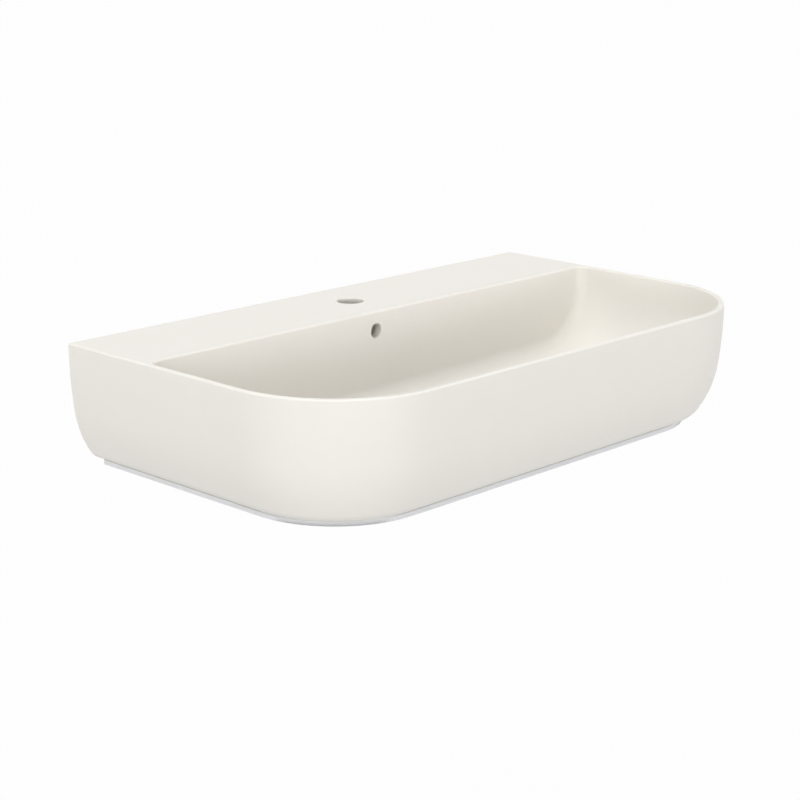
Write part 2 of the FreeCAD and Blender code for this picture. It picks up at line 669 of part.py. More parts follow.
def add_overflow_duct(body):
    """The cast duct from behind the overflow hole, down and forward to the outlet's chamber."""
    radius, moves = "outlet_boss / 2", {"y": "outlet_y", "along": "boss_z"}
    boss = circle_sketch(body, "outlet_boss_outline", "XY_Plane", radius, **moves)
    feature(body, "Pad", "outlet_boss_pad", boss, Length="rim_z - bowl_under + bowl_wall / 2 - boss_z")
    route = new_sketch(body, "duct_route", "YZ_Plane", along="-1 * overflow_offset")
    top = "(rim_z - deck_thickness)"
    corner_z = "(duct_z + duct_bend)"
    inner_y = "(duct_y - duct_bend)"
    start = vector(size("duct_y"), size(top))
    bend_start = vector(size("duct_y"), size(corner_z))
    bend_end = vector(size(inner_y), size("duct_z"))
    finish = vector(size("outlet_y"), size("duct_z"))
    route.addGeometry(Part.LineSegment(start, bend_start))
    route.addGeometry(arc_edge(bend_start, bend_end, right("duct_bend")))
    route.addGeometry(Part.LineSegment(bend_end, finish))
    route.addConstraint(Sketcher.Constraint("Coincident", 0, 2, 1, 2))
    route.addConstraint(Sketcher.Constraint("Coincident", 1, 1, 2, 1))
    constrain(route, "DistanceX", "duct_y", 0, 1)
    constrain(route, "DistanceY", top, 0, 1)
    constrain(route, "DistanceX", "duct_y", 0, 2)
    constrain(route, "DistanceY", corner_z, 0, 2)
    constrain(route, "Radius", "duct_bend", 1)
    constrain(route, "DistanceX", inner_y, 2, 1)
    constrain(route, "DistanceY", "duct_z", 2, 1)
    constrain(route, "DistanceX", "outlet_y", 2, 2)
    constrain(route, "DistanceY", "duct_z", 2, 2)
    shell = outline_sketch(
        body,
        "duct_shell_outline",
        "XY_Plane",
        rounded_box_corners(
            "duct_width / 2 + duct_wall",
            "duct_gap / 2 + duct_wall",
            "(duct_round + duct_wall)",
        ),
        along=top,
        across="-1 * overflow_offset",
        up="duct_y",
    )
    casing = body.newObject("PartDesign::AdditivePipe", "duct_casing")
    casing.Profile = shell
    casing.Spine = (route, ["Edge1", "Edge2", "Edge3"])
    doc.recompute()
    return route


def cut_overflow_duct(body, route):
    """The way for the water inside the duct, and the overflow hole that leads to it."""
    inside = outline_sketch(
        body,
        "duct_bore_outline",
        "XY_Plane",
        rounded_box_corners("duct_width / 2", "duct_gap / 2", "duct_round"),
        along="rim_z - deck_thickness",
        across="-1 * overflow_offset",
        up="duct_y",
    )
    before = body.Shape.Volume
    bore = body.newObject("PartDesign::SubtractivePipe", "duct_bore")
    bore.Profile = inside
    bore.Spine = (route, ["Edge1", "Edge2", "Edge3"])
    doc.recompute()
    if body.Shape.Volume >= before:
        raise ValueError("the duct's bore cut nothing")
    hole = circle_sketch(
        body,
        "overflow_outline",
        "XZ_Plane",
        "overflow_hole / 2",
        x="-1 * overflow_offset",
        y="rim_z - overflow_drop",
        along="deck_depth - bowl_wall - overrun",
    )
    feature(body, "Pocket", "overflow_mouth", hole, True, Length="bowl_wall + 2 * overrun")


def outline_inset(point):
    """How far a place lies inside the ceramic's outline, seen from above."""
    over_x = abs(point.x) - size("middle_half")
    over_y = -point.y - size("depth - corner_radius")
    if over_x > 0 and over_y > 0:
        return size("corner_radius") - math.hypot(over_x, over_y)
    return min(size("width / 2") - abs(point.x), size("depth") + point.y, -point.y)


def shape_bowl(body):
    """Rounds the bowl's back edge and the rim, and lets the floor's trough run out at the front."""
    wall_y, rim = -size("deck_depth"), size("rim_z")

    def behind_bowl(points):
        middle = points[2]
        along = size("width / 2 - bowl_u") - abs(middle.x)
        below = rim - middle.z - size("bowl_straight")
        in_arc = along > 0 or below < 0 or math.hypot(along, below) < size("bowl_radius") + NEAR
        flush = all(abs(p.y - wall_y) < NEAR for p in points)
        return flush and in_arc and NEAR < rim - middle.z < size("trough_d") + NEAR

    def on_rim(points):
        return all(abs(p.z - rim) < NEAR for p in points)

    def inner_rim(points):
        return on_rim(points) and outline_inset(points[2]) > size("rim_wall") - NEAR

    def outer_rim(points):
        back_side = all(abs(p.y) < NEAR for p in points) and points[2].z > size("body_z") + NEAR
        return back_side or (on_rim(points) and abs(outline_inset(points[2])) < NEAR)

    segment = outline_sketch(
        body,
        "dish_outline",
        "XZ_Plane",
        [
            ("-1 * middle_half", "rim_z - axis_d", left("trough_radius")),
            ("middle_half", "rim_z - axis_d", LINE),
        ],
        along="depth - corner_radius",
    )
    before = body.Shape.Volume
    dish = body.newObject("PartDesign::Pocket", "dish_front")
    dish.Profile = segment
    dish.UseCustomVector = True
    dish.Direction = vector(0, -1, size("dish_rise"))
    bind(dish, Direction__z="dish_rise", Length="dish_run + overrun")
    doc.recompute()
    if body.Shape.Volume >= before:
        raise ValueError("the dish's front cut nothing")
    round_edges(body, "bowl_back_round", "bowl_corner", behind_bowl)
    round_edges(body, "inner_rim_round", "rim_round", inner_rim)
    round_edges(body, "outer_rim_round", "rim_round", outer_rim)


def cut_outlet(body):
    """The stepped outlet: recess for the flange, hole for the waste and the chamber round it."""
    hole, room, recess = "outlet_hole / 2", "chamber_width / 2", "recess_width / 2"
    corners = [
        ("0", "boss_z - overrun", LINE),
        (hole, "boss_z - overrun", LINE),
        (hole, "chamber_z", LINE),
        (f"{room} - chamber_round", "chamber_z", left("chamber_round")),
        (room, "chamber_z + chamber_round", LINE),
        (room, "chamber_z + chamber_height - chamber_round", left("chamber_round")),
        (f"{room} - chamber_round", "chamber_z + chamber_height", LINE),
        (hole, "chamber_z + chamber_height", LINE),
        (hole, "seat_z", LINE),
        (recess, "seat_z", LINE),
        (recess, "seat_z + recess_depth + overrun", LINE),
        ("0", "seat_z + recess_depth + overrun", LINE),
    ]
    cut = outline_sketch(body, "outlet_section", "XZ_Plane", corners, along="-1 * outlet_y")
    feature(body, "Groove", "outlet_cut", cut, Angle="360")


def cut_ceramic_holes(body):
    """The tap hole and the two fixing holes, and the soft edges of the open mouths."""
    tap = circle_sketch(body, "tap_outline", "XY_Plane", "tap_hole / 2", y="-1 * tap_setback", along="rim_z")
    feature(body, "Pocket", "tap_mouth", tap, Length="deck_thickness + overrun")
    fixings = new_sketch(body, "fixing_outline", "XZ_Plane", along="back_wall + overrun")
    draw_circle(fixings, "fixing_spacing / 2", "0", "fixing_hole / 2")
    draw_circle(fixings, "fixing_spacing / -2", "0", "fixing_hole / 2")
    feature(body, "Pocket", "fixing_holes", fixings, Length="back_wall + 2 * overrun")

    def tap_edge(points):
        reach = size("tap_hole / 2") + NEAR
        flush = all(abs(p.z - size("rim_z")) < NEAR for p in points)
        return flush and all(math.hypot(p.x, p.y + size("tap_setback")) < reach for p in points)

    def overflow_edge(points):
        reach = size("overflow_hole / 2") + NEAR
        x, z = -size("overflow_offset"), size("rim_z - overflow_drop")
        flush = all(abs(p.y + size("deck_depth")) < NEAR for p in points)
        return flush and all(math.hypot(p.x - x, p.z - z) < reach for p in points)

    round_edges(body, "tap_mouth_round", "tap_mouth", tap_edge)
    round_edges(body, "overflow_mouth_round", "overflow_mouth", overflow_edge)


def make_basin_body():
    """The whole ceramic casting."""
    body = new_body("basin_body")
    add_ceramic_shell(body)
    add_ceramic_foot(body)
    shape_bowl(body)
    route = add_overflow_duct(body)
    cut_overflow_duct(body, route)
    cut_outlet(body)
    cut_ceramic_holes(body)
    return body


def make_waste():
    """The slotted waste with the rings and the nut that clamp it in the ceramic."""
    end, relief = "-1 * barrel_length", "(tail_length - barrel_length)"
    top, rim = "flange_thickness", "(flange_thickness - flange_round)"
    inset = "(barrel_radius - relief_depth)"
    corners = [
        ("barrel_bore", end, LINE),
        ("barrel_radius - tail_chamfer", end, LINE),
        ("barrel_radius", f"{end} + tail_chamfer", LINE),
        ("barrel_radius", relief, LINE),
        (inset, relief, LINE),
        (inset, f"{relief} + relief_width", LINE),
        ("barrel_radius", f"{relief} + relief_width", LINE),
        ("barrel_radius", "0", LINE),
        ("flange_radius", "0", LINE),
        ("flange_radius", rim, left("flange_round")),
        ("flange_radius - flange_round", top, LINE),
        ("seat_radius", top, LINE),
        ("barrel_bore", "flange_thickness - seat_depth", LINE),
    ]
    body = turned("waste_body", corners, z="flange_z")
    wall = "(barrel_radius + barrel_bore) / 2"
    hub = new_sketch(body, "hub_outline", "XY_Plane", along="-1 * hub_depth")
    draw_outline(
        hub,
        [
            (f"-1 * {wall}", "arm_width / -2", LINE),
            (wall, "arm_width / -2", LINE),
            (wall, "arm_width / 2", LINE),
            (f"-1 * {wall}", "arm_width / 2", LINE),
        ],
    )
    feature(body, "Pad", "hub_arms", hub, True, Length="hub_height")
    core = circle_sketch(body, "hub_circle", "XY_Plane", "hub_radius", along="-1 * hub_depth")
    feature(body, "Pad", "hub_core", core, True, Length="hub_height")
    bore = circle_sketch(
        body, "hub_bore_circle", "XY_Plane", "sleeve_thread + thread_clearance", along="overrun - hub_depth"
    )
    feature(body, "Pocket", "hub_bore", bore, Length="hub_height + 2 * overrun")
    level = "(duct_z - flange_z)"
    slot = new_sketch(body, "slot_outline", "XZ_Plane", along="-1 * flange_radius", up=level)
    draw_outline(slot, rounded_box_corners("slot_width / 2", "slot_height / 2", "slot_round"))
    feature(body, "Pocket", "overflow_slots", slot, True, Length="2 * flange_radius")

    inner = "(barrel_radius + thread_clearance)"
    turned("flange_gasket", ring_corners(inner, "flange_radius", "0", "gasket_thickness"), z="seat_z")
    hole = "(outlet_hole / 2 - seal_nose_gap)"
    seal = [
        (inner, "0", LINE),
        ("seal_radius", "0", LINE),
        ("seal_radius", "seal_height", LINE),
        (hole, "seal_height", LINE),
        (f"({inner} + {hole}) / 2", "seal_height + seal_nose", LINE),
        (inner, "seal_height + seal_nose", LINE),
    ]
    turned("lower_seal", seal, z="seal_z")
    turned("friction_washer", ring_corners(inner, "seal_radius", "0", "washer_thickness"), z="washer_z")
    collar = ring_corners(inner, "nut_collar_radius", "nut_height - nut_collar_height", "nut_height")
    nut = turned("back_nut", collar, z="nut_z")
    add_hexagon(nut, "nut_hex", "nut_height - nut_collar_height", inner)


def add_hexagon(body, across, height, bore, base="0"):
    """A hexagon with a hole on the body's axis, its lower corners taken off by a cone."""
    name = body.Label
    flats = outline_sketch(body, name + "_flats", "XY_Plane", hexagon_corners(across), along=base)
    draw_circle(flats, "0", "0", bore)
    feature(body, "Pad", name + "_hexagon", flats, Length=height)
    inside, outside = f"({across} / 2)", f"({across} / sqrt(3) + overrun)"
    cone = [
        (inside, base, LINE),
        (outside, base, LINE),
        (outside, f"{base} + ({outside} - {inside}) * tan(nut_bevel)", LINE),
    ]
    section = outline_sketch(body, name + "_corner_section", "XZ_Plane", cone)
    feature(body, "Groove", name + "_corners", section, Angle="360")


def make_cartridge():
    """The click mechanism in the waste's hub."""
    floor, shoulder = "(sleeve_floor - sleeve_tail)", "sleeve_hex_height"
    sleeve = [
        ("0", "-1 * sleeve_tail", LINE),
        ("sleeve_thread", "-1 * sleeve_tail", LINE),
        ("sleeve_thread", "0", LINE),
        ("sleeve_radius", "0", LINE),
        ("sleeve_radius", "sleeve_height", LINE),
        ("sleeve_bore", "sleeve_height", LINE),
        ("sleeve_bore", floor, LINE),
        ("0", floor, LINE),
    ]
    body = turned("cartridge_sleeve", sleeve, z="hub_z")
    add_hexagon(body, "sleeve_hex", shoulder, "(sleeve_radius + sleeve_thread) / 2")
    nut = new_body("cartridge_locknut", y="outlet_y", z="hub_z - hub_height - jam_nut_height")
    add_hexagon(nut, "jam_nut_hex", "jam_nut_height", "sleeve_thread + thread_clearance")

    bore, spigot = "(pin_radius + running_gap)", "(sleeve_bore - thread_clearance)"
    room = "(wiper_wire + thread_clearance)"
    low, high = f"(collar_height / 2 - {room})", f"(collar_height / 2 + {room})"
    collar = [
        (bore, "-1 * collar_spigot", LINE),
        (spigot, "-1 * collar_spigot", LINE),
        (spigot, "0", LINE),
        ("sleeve_radius", "0", LINE),
        ("sleeve_radius", "collar_height", LINE),
        (bore, "collar_height", LINE),
        (bore, high, LINE),
        ("groove_radius", high, LINE),
        ("groove_radius", low, LINE),
        (bore, low, LINE),
    ]
    turned("guide_collar", collar, z="sleeve_top")
    wiper = new_body("pin_wiper", y="outlet_y", z="sleeve_top + collar_height / 2")
    ring = circle_sketch(wiper, "wiper_circle", "XZ_Plane", "wiper_wire", x="wiper_radius")
    feature(wiper, "Revolution", "wiper_turn", ring, Angle="360")

    spring = new_body("cartridge_spring", y="outlet_y", z="spring_z")
    wire = circle_sketch(spring, "wire_circle", "XZ_Plane", "spring_wire", x="spring_radius", y="spring_wire")
    coil = spring.newObject("PartDesign::AdditiveHelix", "coil")
    coil.Profile = wire
    coil.ReferenceAxis = (wire, ["V_Axis"])
    coil.Mode = "height-turns-angle"
    bind(coil, Height="spring_height - 2 * spring_wire", Turns="spring_turns")
    seat = ring_corners("spring_seat_hole", "sleeve_bore - thread_clearance", "0", "spring_seat_height")
    turned("spring_seat", seat, z="bore_z")
    make_ratchet_ring()


def make_ratchet_ring():
    """The ring that each press of the plug turns on by one tooth."""
    ring = ring_corners("nose_radius + running_gap", "sleeve_bore - moving_gap", "0", "ring_height")
    body = turned("ratchet_ring", ring, z="ring_z")
    reach = "sleeve_bore"
    notch = [
        ("0", "ring_height", LINE),
        ("0", "ring_height - ring_notch_depth", LINE),
        ("ring_notch_width", "ring_height", LINE),
    ]
    sketch = outline_sketch(body, "notch_outline", "XZ_Plane", notch)
    cut = feature(body, "Pocket", "notch", sketch, True, Length=reach)
    pattern = body.newObject("PartDesign::PolarPattern", "notches")
    pattern.Originals = [cut]
    pattern.Axis = (sketch, ["V_Axis"])
    bind(pattern, Occurrences="ring_teeth")
    body.Tip = pattern
    doc.recompute()


def make_plug():
    """The plug with the pin that slides in the cartridge."""
    crown = "((plug_radius - plug_edge_round)^2 / (2 * plug_crown) + plug_crown / 2)"
    inner = "(plug_radius - plug_skin)"
    edge = "(plug_rim_height - plug_edge_round)"
    cap = [
        (inner, "0", LINE),
        ("plug_radius", "0", LINE),
        ("plug_radius", edge, left("plug_edge_round")),
        ("plug_radius - plug_edge_round", "plug_rim_height", left(crown)),
        ("0", "plug_rim_height + plug_crown", LINE),
        ("0", "core_height", LINE),
        (inner, "core_height", LINE),
    ]
    turned("plug_cap", cap, z="plug_z")
    lip = "(-1 * seal_ring_height - seal_lip_height)"
    foot = f"({lip} - core_boss_height)"
    bore = "(pin_radius + thread_clearance)"
    core = [
        (bore, foot, LINE),
        ("core_boss_radius", foot, LINE),
        ("core_boss_radius", lip, LINE),
        ("seal_lip_radius", lip, LINE),
        ("seal_lip_radius", "-1 * seal_ring_height", LINE),
        ("seal_ring_inner", "-1 * seal_ring_height", LINE),
        ("seal_ring_inner", "0", LINE),
        ("core_radius", "0", LINE),
        ("core_radius", "core_height", LINE),
        ("0", "core_height", LINE),
        ("0", "0", LINE),
        (bore, "0", LINE),
    ]
    turned("plug_core", core, z="plug_z")
    seal = [
        ("seal_ring_inner", "-1 * seal_ring_height", LINE),
        ("seal_ring_radius", "-1 * seal_ring_height", LINE),
        ("seal_ring_outer", "(seal_ring_outer - seal_ring_radius) / seat_slope - seal_ring_height", LINE),
        ("seal_ring_outer", "0", LINE),
        ("seal_ring_inner", "0", LINE),
    ]
    turned("plug_seal", seal, z="plug_z")
    pin = [
        ("0", "0", LINE),
        ("nose_radius", "0", LINE),
        ("nose_radius", "nose_length", LINE),
        ("pin_collar_radius", "nose_length", LINE),
        ("pin_collar_radius", "nose_length + pin_collar_height", LINE),
        ("pin_radius", "nose_length + pin_collar_height", LINE),
        ("pin_radius", "plug_z - pin_z", LINE),
        ("0", "plug_z - pin_z", LINE),
    ]
    turned("plug_pin", pin, z="pin_z")
    nut = new_body("height_locknut", y="outlet_y", z=f"plug_z + {foot} - locknut_height")
    add_hexagon(nut, "locknut_hex", "locknut_height", bore)


def turned_to_wall(name, corners):
    """A body turned about the right-hand fixing's axis from an outline of (y, radius) corners."""
    body = new_body(name, x="fixing_spacing / 2")
    sketch = outline_sketch(body, name + "_section", "YZ_Plane", corners)
    item = body.newObject("PartDesign::Revolution", name + "_turn")
    item.Profile = sketch
    item.ReferenceAxis = (sketch, ["H_Axis"])
    bind(item, Angle="360")
    doc.recompute()
    return body


def paired(name, body):
    """One node that holds a piece and its mirror image on the other side."""
    other = doc.addObject("Part::Mirroring", name + "_left")
    other.Source = body
    other.Normal = vector(1, 0, 0)
    both = doc.addObject("Part::Compound", name)
    both.Label = name
    both.Links = [body, other]
    doc.recompute()


def make_fixings():
    """Bushes, washers and nuts that hold the ceramic on the wall's studs."""
    face = "(-1 * back_wall)"
    shoulder = f"({face} - bush_shoulder)"
    tube = "(fixing_hole / 2 - bush_gap)"
    bush = [
        (shoulder, "stud_hole_radius", LINE),
        ("-1 * bush_setback", "stud_hole_radius", LINE),
        ("-1 * bush_setback", tube, LINE),
        (face, tube, LINE),
        (face, "bush_shoulder_radius", LINE),
        (shoulder, "bush_shoulder_radius", LINE),
    ]
    paired("fixing_bushes", turned_to_wall("fixing_bush", bush))
    front = f"({shoulder} - fixing_washer_thickness)"
    washer = [
        (front, "stud_hole_radius", LINE),
        (shoulder, "stud_hole_radius", LINE),
        (shoulder, "fixing_washer_radius", LINE),
        (front, "fixing_washer_radius", LINE),
    ]
    paired("fixing_washers", turned_to_wall("fixing_washer", washer))
    nut = new_body("fixing_nut", x="fixing_spacing / 2")
    corners, start = hexagon_corners("fixing_nut_hex"), f"-1 * {front}"
    flats = outline_sketch(nut, "fixing_nut_flats", "XZ_Plane", corners, along=start)
    draw_circle(flats, "0", "0", "fixing_nut_bore")
    feature(nut, "Pad", "fixing_nut_hexagon", flats, Length="fixing_nut_height")
    far = f"({front} - fixing_nut_height)"
    inside, outside = "(fixing_nut_hex / 2)", "(fixing_nut_hex / sqrt(3) + overrun)"
    cone = [
        (far, inside, LINE),
        (far, outside, LINE),
        (f"{far} + ({outside} - {inside}) * tan(nut_bevel)", outside, LINE),
    ]
    section = outline_sketch(nut, "fixing_nut_corner_section", "YZ_Plane", cone)
    cut = nut.newObject("PartDesign::Groove", "fixing_nut_corners")
    cut.Profile = section
    cut.ReferenceAxis = (section, ["H_Axis"])
    bind(cut, Angle="360")
    doc.recompute()
    paired("fixing_nuts", nut)


NODES = (
    "basin_body",
    "waste_body",
    "flange_gasket",
    "lower_seal",
    "friction_washer",
    "back_nut",
    "cartridge_sleeve",
    "cartridge_locknut",
    "guide_collar",
    "pin_wiper",
    "cartridge_spring",
    "spring_seat",
    "ratchet_ring",
    "plug_pin",
    "height_locknut",
    "plug_core",
    "plug_cap",
    "plug_seal",
    "fixing_bushes",
    "fixing_washers",
    "fixing_nuts",
)


def export_parts():
    """Checks every object and writes one file per node."""
    doc.recompute()
    for item in doc.Objects:
        if "Invalid" in item.State or "Error" in item.State:
            raise ValueError(f"{item.Name} is {item.State}")
    os.makedirs("parts", exist_ok=True)
    for name in NODES:
        shape = doc.getObject(name).Shape
        if shape.isNull() or not shape.isValid() or shape.Volume <= 0:
            raise ValueError(f"{name} has no good shape")
        shape.exportStep(f"parts/{name}.step")
        box = shape.BoundBox
        print(f"{name}: {len(shape.Solids)} solid(s), {shape.Volume / 1000:.3f} cm3, {box}")


fill_sheet()
make_basin_body()
make_waste()
make_cartridge()
make_plug()
make_fixings()
export_parts()
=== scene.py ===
"""Dresses the hand basin: glazed ceramic, chromed waste, click mechanism and wall fixings."""

from __future__ import annotations

import logging
import math
import sys
from dataclasses import dataclass, field
from enum import Enum

import bmesh
import bpy
from mathutils import Matrix, Vector
from mathutils.bvhtree import BVHTree

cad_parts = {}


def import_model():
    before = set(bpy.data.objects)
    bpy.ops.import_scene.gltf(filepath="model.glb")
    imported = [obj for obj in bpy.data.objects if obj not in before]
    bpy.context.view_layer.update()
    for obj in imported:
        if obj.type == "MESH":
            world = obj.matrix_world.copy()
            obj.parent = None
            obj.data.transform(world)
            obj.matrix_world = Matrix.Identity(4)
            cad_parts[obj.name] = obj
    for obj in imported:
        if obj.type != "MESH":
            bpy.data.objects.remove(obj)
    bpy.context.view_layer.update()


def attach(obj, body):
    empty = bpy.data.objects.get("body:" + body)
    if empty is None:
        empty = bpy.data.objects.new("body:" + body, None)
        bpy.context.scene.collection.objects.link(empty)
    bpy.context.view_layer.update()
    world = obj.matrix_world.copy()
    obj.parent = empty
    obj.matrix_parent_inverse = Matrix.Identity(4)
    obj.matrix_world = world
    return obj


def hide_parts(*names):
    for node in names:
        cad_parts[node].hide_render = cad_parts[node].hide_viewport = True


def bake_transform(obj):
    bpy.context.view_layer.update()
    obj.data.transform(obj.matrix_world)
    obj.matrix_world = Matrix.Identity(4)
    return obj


log = logging.getLogger("hand_basin")

Colour = tuple[float, float, float]
Place = tuple[float, float, float]

# The attribute that marks the faces inside the casting.
UNDERSIDE = "underside"
# Distance under which two corners of a mesh are one.
WELD = 0.000004
# Angle above which an edge of a thread stays sharp, in degrees.
THREAD_CREASE = 20.0
# Where the outlet's axis stands.
OUTLET = (0.0, -0.245)
WHITE: Colour = (1.0, 1.0, 1.0)
# Where a Mix node keeps its colour sockets: the share, both colours and the result.
MIX_SHARE, MIX_FIRST, MIX_SECOND, MIX_RESULT = 0, 6, 7, 2


class Lit(Enum):
    """Which rays a backdrop answers with plain white."""

    CAMERA = "Is Camera Ray"
    GLOSSY = "Is Glossy Ray"
    TRANSMISSION = "Is Transmission Ray"


class Graph:
    """A short way to write a node tree."""

    def __init__(self, tree: bpy.types.NodeTree) -> None:
        """Starts an empty graph.

        Args:
            tree: The tree that the nodes go into.
        """
        self.tree = tree
        tree.nodes.clear()

    def add(self, kind: str, settings: dict[str, object] | None = None, **inputs: object) -> bpy.types.Node:
        """Adds a node, sets its properties and fills or links its inputs.

        Args:
            kind: The node's type name.
            settings: Properties of the node.
            **inputs: Values or output sockets by input name, with an underscore for each space.

        Returns:
            The new node.
        """
        node = self.tree.nodes.new(kind)
        for name, value in (settings or {}).items():
            setattr(node, name, value)
        for name, value in inputs.items():
            self.feed(node.inputs[name.replace("_", " ")], value)
        return node

    def feed(self, socket: bpy.types.NodeSocket, value: object) -> None:
        """Links an output to the socket, or sets the socket's own value.

        Args:
            socket: The input socket.
            value: An output socket, or a plain value.
        """
        if isinstance(value, bpy.types.NodeSocket):
            self.tree.links.new(value, socket)
        else:
            socket.default_value = value

    def math(self, operation: str, *values: object, clamp: bool = False) -> bpy.types.NodeSocket:
        """Adds a Math node.

        Args:
            operation: The operation's name.
            *values: Its inputs in order.
            clamp: Whether the result stays between 0 and 1.

        Returns:
            The node's output.
        """
        node = self.add("ShaderNodeMath", {"operation": operation, "use_clamp": clamp})
        for socket, value in zip(node.inputs, values):
            self.feed(socket, value)
        return node.outputs[0]

    def ramp(self, value: object, low: float, high: float) -> bpy.types.NodeSocket:
        """Turns a value into a smooth step.

        Args:
            value: The value that is read.
            low: Where the result is 0.
            high: Where the result is 1.

        Returns:
            The step's output.
        """
        node = self.add("ShaderNodeMapRange", {"interpolation_type": "SMOOTHSTEP"}, Value=value)
        node.inputs["From Min"].default_value = low
        node.inputs["From Max"].default_value = high
        return node.outputs["Result"]

    def noise(self, place: object, scale: float, detail: float = 2.0) -> bpy.types.NodeSocket:
        """Adds a noise pattern.

        Args:
            place: The coordinates it reads.
            scale: Lumps per metre.
            detail: How many finer layers it has.

        Returns:
            The pattern, about 0.5 on average.
        """
        node = self.add("ShaderNodeTexNoise", Vector=place, Scale=scale, Detail=detail)
        return node.outputs["Fac"]

    def band(self, value: object, low: float, high: float, edge: float) -> bpy.types.NodeSocket:
        """1 between two values of the input and 0 outside, with soft ends.

        Args:
            value: The value that is read.
            low: Where the band begins.
            high: Where it ends.
            edge: Length of each soft end.

        Returns:
            The band's output.
        """
        return self.math("MULTIPLY", self.ramp(value, low - edge, low), self.ramp(value, high + edge, high))

    def bump(self, height: object, distance: float, normal: object = None) -> bpy.types.NodeSocket:
        """Adds fine relief.

        Args:
            height: The pattern, 0 to 1.
            distance: Its height, in metres.
            normal: The relief that it lies on, if any.

        Returns:
            The relief's output.
        """
        node = self.add("ShaderNodeBump", Height=height, Distance=distance, Strength=1.0)
        if normal is not None:
            self.feed(node.inputs["Normal"], normal)
        return node.outputs["Normal"]

    def blend(self, factor: object, first: object, second: object) -> bpy.types.NodeSocket:
        """Mixes two colours.

        Args:
            factor: How much of the second.
            first: The first colour.
            second: The second colour.

        Returns:
            The mixed colour.
        """
        node = self.add("ShaderNodeMix", {"data_type": "RGBA"})
        self.feed(node.inputs[MIX_SHARE], factor)
        self.feed(node.inputs[MIX_FIRST], first)
        self.feed(node.inputs[MIX_SECOND], second)
        return node.outputs[MIX_RESULT]


def rgba(colour: Colour) -> tuple[float, float, float, float]:
    """Adds an alpha of 1.

    Args:
        colour: The colour, linear.

    Returns:
        The colour with its alpha.
    """
    return (*colour, 1.0)


def varied(colour: Colour, depth: float) -> tuple[Colour, Colour]:
    """A darker and a lighter neighbour of a colour.

    Args:
        colour: The colour, linear.
        depth: How far they are from it, as a share.

    Returns:
        The darker and the lighter colour.
    """
    return tuple(c * (1 - depth) for c in colour), tuple(min(1.0, c * (1 + depth)) for c in colour)


@dataclass(frozen=True)
class Finish:
    """What every finish has in common: a slightly uneven colour and gloss, and a fine grain.

    Attributes:
        name: The material's name.
        colour: Its mean colour, linear.
        roughness: Mean roughness.
        metallic: 1 on bare metal.
        patch_scale: Lumps of uneven colour per metre.
        patch_depth: How far the colour varies, as a share.
        gloss_scale: Lumps of uneven gloss for each lump of uneven colour.
        gloss_spread: How far the roughness varies, as a share.
        grain_scale: Fine grain per metre.
        grain_height: Height of the grain, in metres.
    """

    name: str
    colour: Colour
    roughness: float
    metallic: float = 0.0
    patch_scale: float = 60.0
    patch_depth: float = 0.04
    gloss_scale: float = 1.7
    gloss_spread: float = 0.2
    grain_scale: float = 900.0
    grain_height: float = 0.00001

    def surface_colour(self, graph: Graph, place: bpy.types.NodeSocket) -> bpy.types.NodeSocket:
        """The slightly uneven colour.

        Args:
            graph: The material's graph.
            place: Object coordinates.

        Returns:
            The colour's output.
        """
        dark, light = varied(self.colour, self.patch_depth)
        return graph.blend(graph.noise(place, self.patch_scale, detail=3.0), rgba(dark), rgba(light))

    def finish_shader(self, graph: Graph, shader: bpy.types.Node, place: bpy.types.NodeSocket) -> None:
        """Sets what only this kind of finish has.

        Args:
            graph: The material's graph.
            shader: The surface shader.
            place: Object coordinates.
        """

    def material(self) -> bpy.types.Material:
        """Builds the material, or finds it when it is already built.

        Returns:
            The material.
        """
        found = bpy.data.materials.get(self.name)
        if found:
            return found
        made = bpy.data.materials.new(self.name)
        made.use_nodes = True
        graph = Graph(made.node_tree)
        place = graph.add("ShaderNodeTexCoord").outputs["Object"]
        shader = graph.add("ShaderNodeBsdfPrincipled", Metallic=self.metallic)
        graph.feed(shader.inputs["Base Color"], self.surface_colour(graph, place))
        uneven = graph.noise(place, self.patch_scale * self.gloss_scale, detail=4.0)
        spread = self.roughness * self.gloss_spread
        rough = graph.math("MULTIPLY_ADD", uneven, spread, self.roughness - spread / 2)
        graph.feed(shader.inputs["Roughness"], rough)
        grain = graph.noise(place, self.grain_scale)
        graph.feed(shader.inputs["Normal"], graph.bump(grain, self.grain_height))
        self.finish_shader(graph, shader, place)
        output = graph.add("ShaderNodeOutputMaterial")
        graph.feed(output.inputs["Surface"], shader.outputs["BSDF"])
        return made


